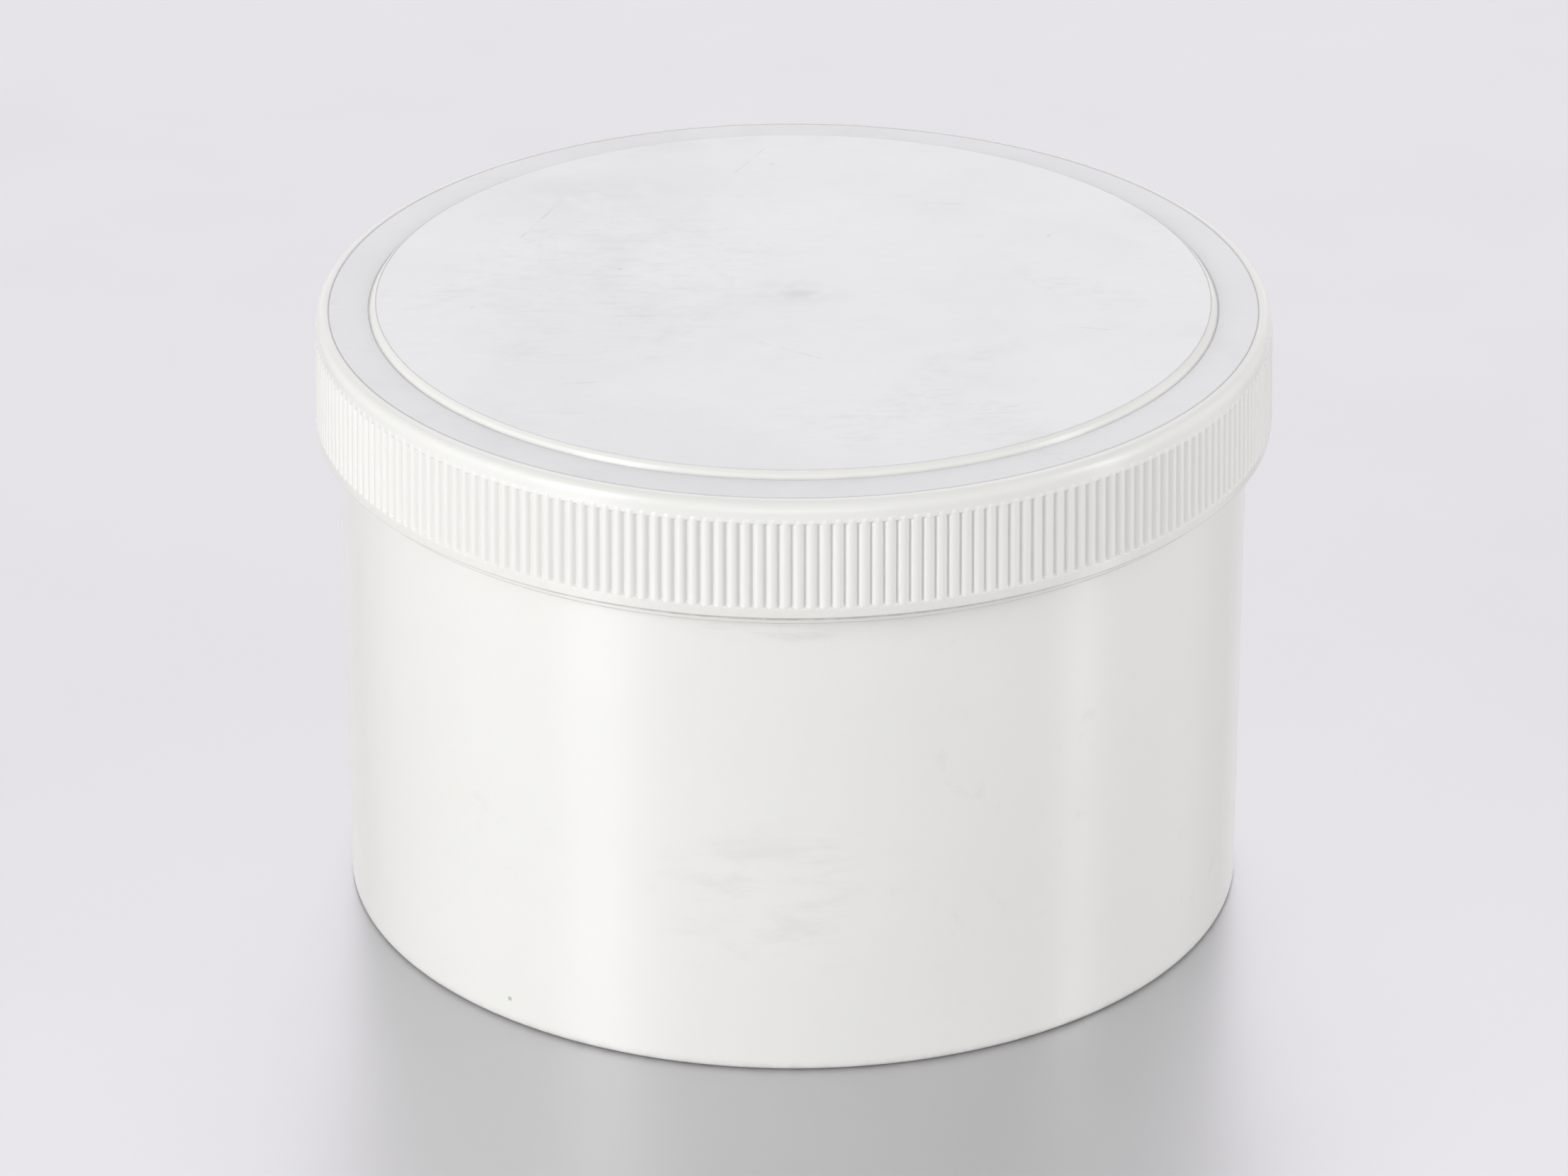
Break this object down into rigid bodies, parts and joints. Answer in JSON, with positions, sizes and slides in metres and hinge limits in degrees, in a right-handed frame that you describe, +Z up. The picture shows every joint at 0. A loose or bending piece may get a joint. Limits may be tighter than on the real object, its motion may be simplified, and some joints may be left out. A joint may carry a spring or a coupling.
{
  "type": "wide-mouth screw-lid plastic jar",
  "caption": "Squat white plastic jar with straight sides, a wide mouth and a large screw lid with fine vertical grip ribs and a raised stacking panel.",
  "frame": {"origin": "centre of the foot ring's underside, on the surface that the jar stands on", "axes": "+Z up along the jar's axis, -Y towards the viewer, +X to the viewer's right"},
  "size_m": [0.1368, 0.1368, 0.0899],
  "materials": {
    "jar_plastic": "satin",
    "lid_plastic": "satin",
    "liner_foam": "matte"
  },
  "bodies": {
    "jar": {"jar_body": "jar_plastic"},
    "liner": {"lid_liner": "liner_foam"},
    "lid": {"screw_lid": "lid_plastic"}
  },
  "joints": [
    {"name": "lid_lift", "type": "slide", "parent": "jar", "child": "liner", "axis": [0, 0, 1], "range_m": [0, 0.0075]},
    {"name": "lid_turn", "type": "hinge", "parent": "liner", "child": "lid", "pos_m": [0, 0, 0.08], "axis": [0, 0, 1], "range_deg": [0, 540]}
  ],
  "couplings": [
    {"joint": "lid_lift", "follows": "lid_turn", "m_per_rad": 0.00079577}
  ]
}
